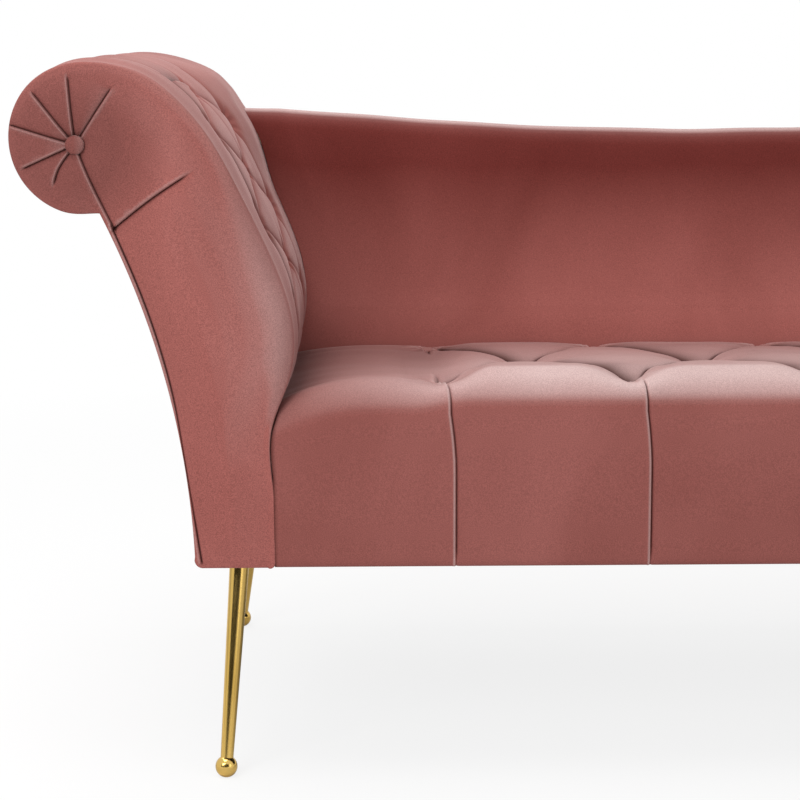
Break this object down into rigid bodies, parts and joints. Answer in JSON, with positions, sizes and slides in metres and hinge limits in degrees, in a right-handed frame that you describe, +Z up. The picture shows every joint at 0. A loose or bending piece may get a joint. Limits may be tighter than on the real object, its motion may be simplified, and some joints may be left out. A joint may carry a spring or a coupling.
{
  "type": "chaise longue",
  "caption": "Velvet chaise longue with one scroll arm, a button-tufted seat and inner arm, a low sweeping back and splayed gold legs with ball feet.",
  "frame": {"origin": "on the floor, in the middle of the footprint", "axes": "+X along the length from the arm to the foot end, +Y from the front to the back, +Z up"},
  "size_m": [1.7, 0.68, 0.7746],
  "materials": {
    "velvet": "matte",
    "foam": "matte",
    "timber": "matte",
    "plywood": "matte",
    "hardboard": "matte",
    "board_tube": "matte",
    "spring_steel": "satin",
    "felt": "matte",
    "zinc_steel": "satin",
    "plate_steel": "satin",
    "gold": "polished",
    "dust_cloth": "matte"
  },
  "bodies": {
    "root": {"seat_cover": "velvet", "seat_buttons": "velvet", "arm_inner_cover": "velvet", "arm_outer_cover": "velvet", "arm_front_facing": "velvet", "arm_rear_facing": "velvet", "arm_buttons": "velvet", "scroll_front_button": "velvet", "scroll_rear_button": "velvet", "back_inner_cover": "velvet", "back_outer_cover": "velvet", "back_end_facing": "velvet", "seat_foam": "foam", "arm_padding": "foam", "back_foam": "foam", "front_rail": "timber", "rear_rail": "timber", "arm_end_rail": "timber", "foot_end_rail": "timber", "spring_rail": "timber", "cross_rails": "timber", "corner_blocks": "timber", "arm_bottom_rail": "timber", "arm_stretchers": "timber", "back_posts": "timber", "arm_front_board": "plywood", "arm_rear_board": "plywood", "back_top_rail": "plywood", "arm_inner_panel": "hardboard", "arm_outer_panel": "hardboard", "back_panel": "hardboard", "arm_roll_tube": "board_tube", "seat_springs": "spring_steel", "spring_clips": "spring_steel", "spring_felt": "felt", "arm_bolts": "zinc_steel", "back_bolts": "zinc_steel", "leg_screws": "zinc_steel", "leg_plate_front_arm": "plate_steel", "leg_plate_rear_arm": "plate_steel", "leg_plate_front_end": "plate_steel", "leg_plate_rear_end": "plate_steel", "leg_front_arm": "gold", "leg_rear_arm": "gold", "leg_front_end": "gold", "leg_rear_end": "gold", "ball_foot_front_arm": "gold", "ball_foot_rear_arm": "gold", "ball_foot_front_end": "gold", "ball_foot_rear_end": "gold", "dust_cover": "dust_cloth"}
  },
  "joints": []
}
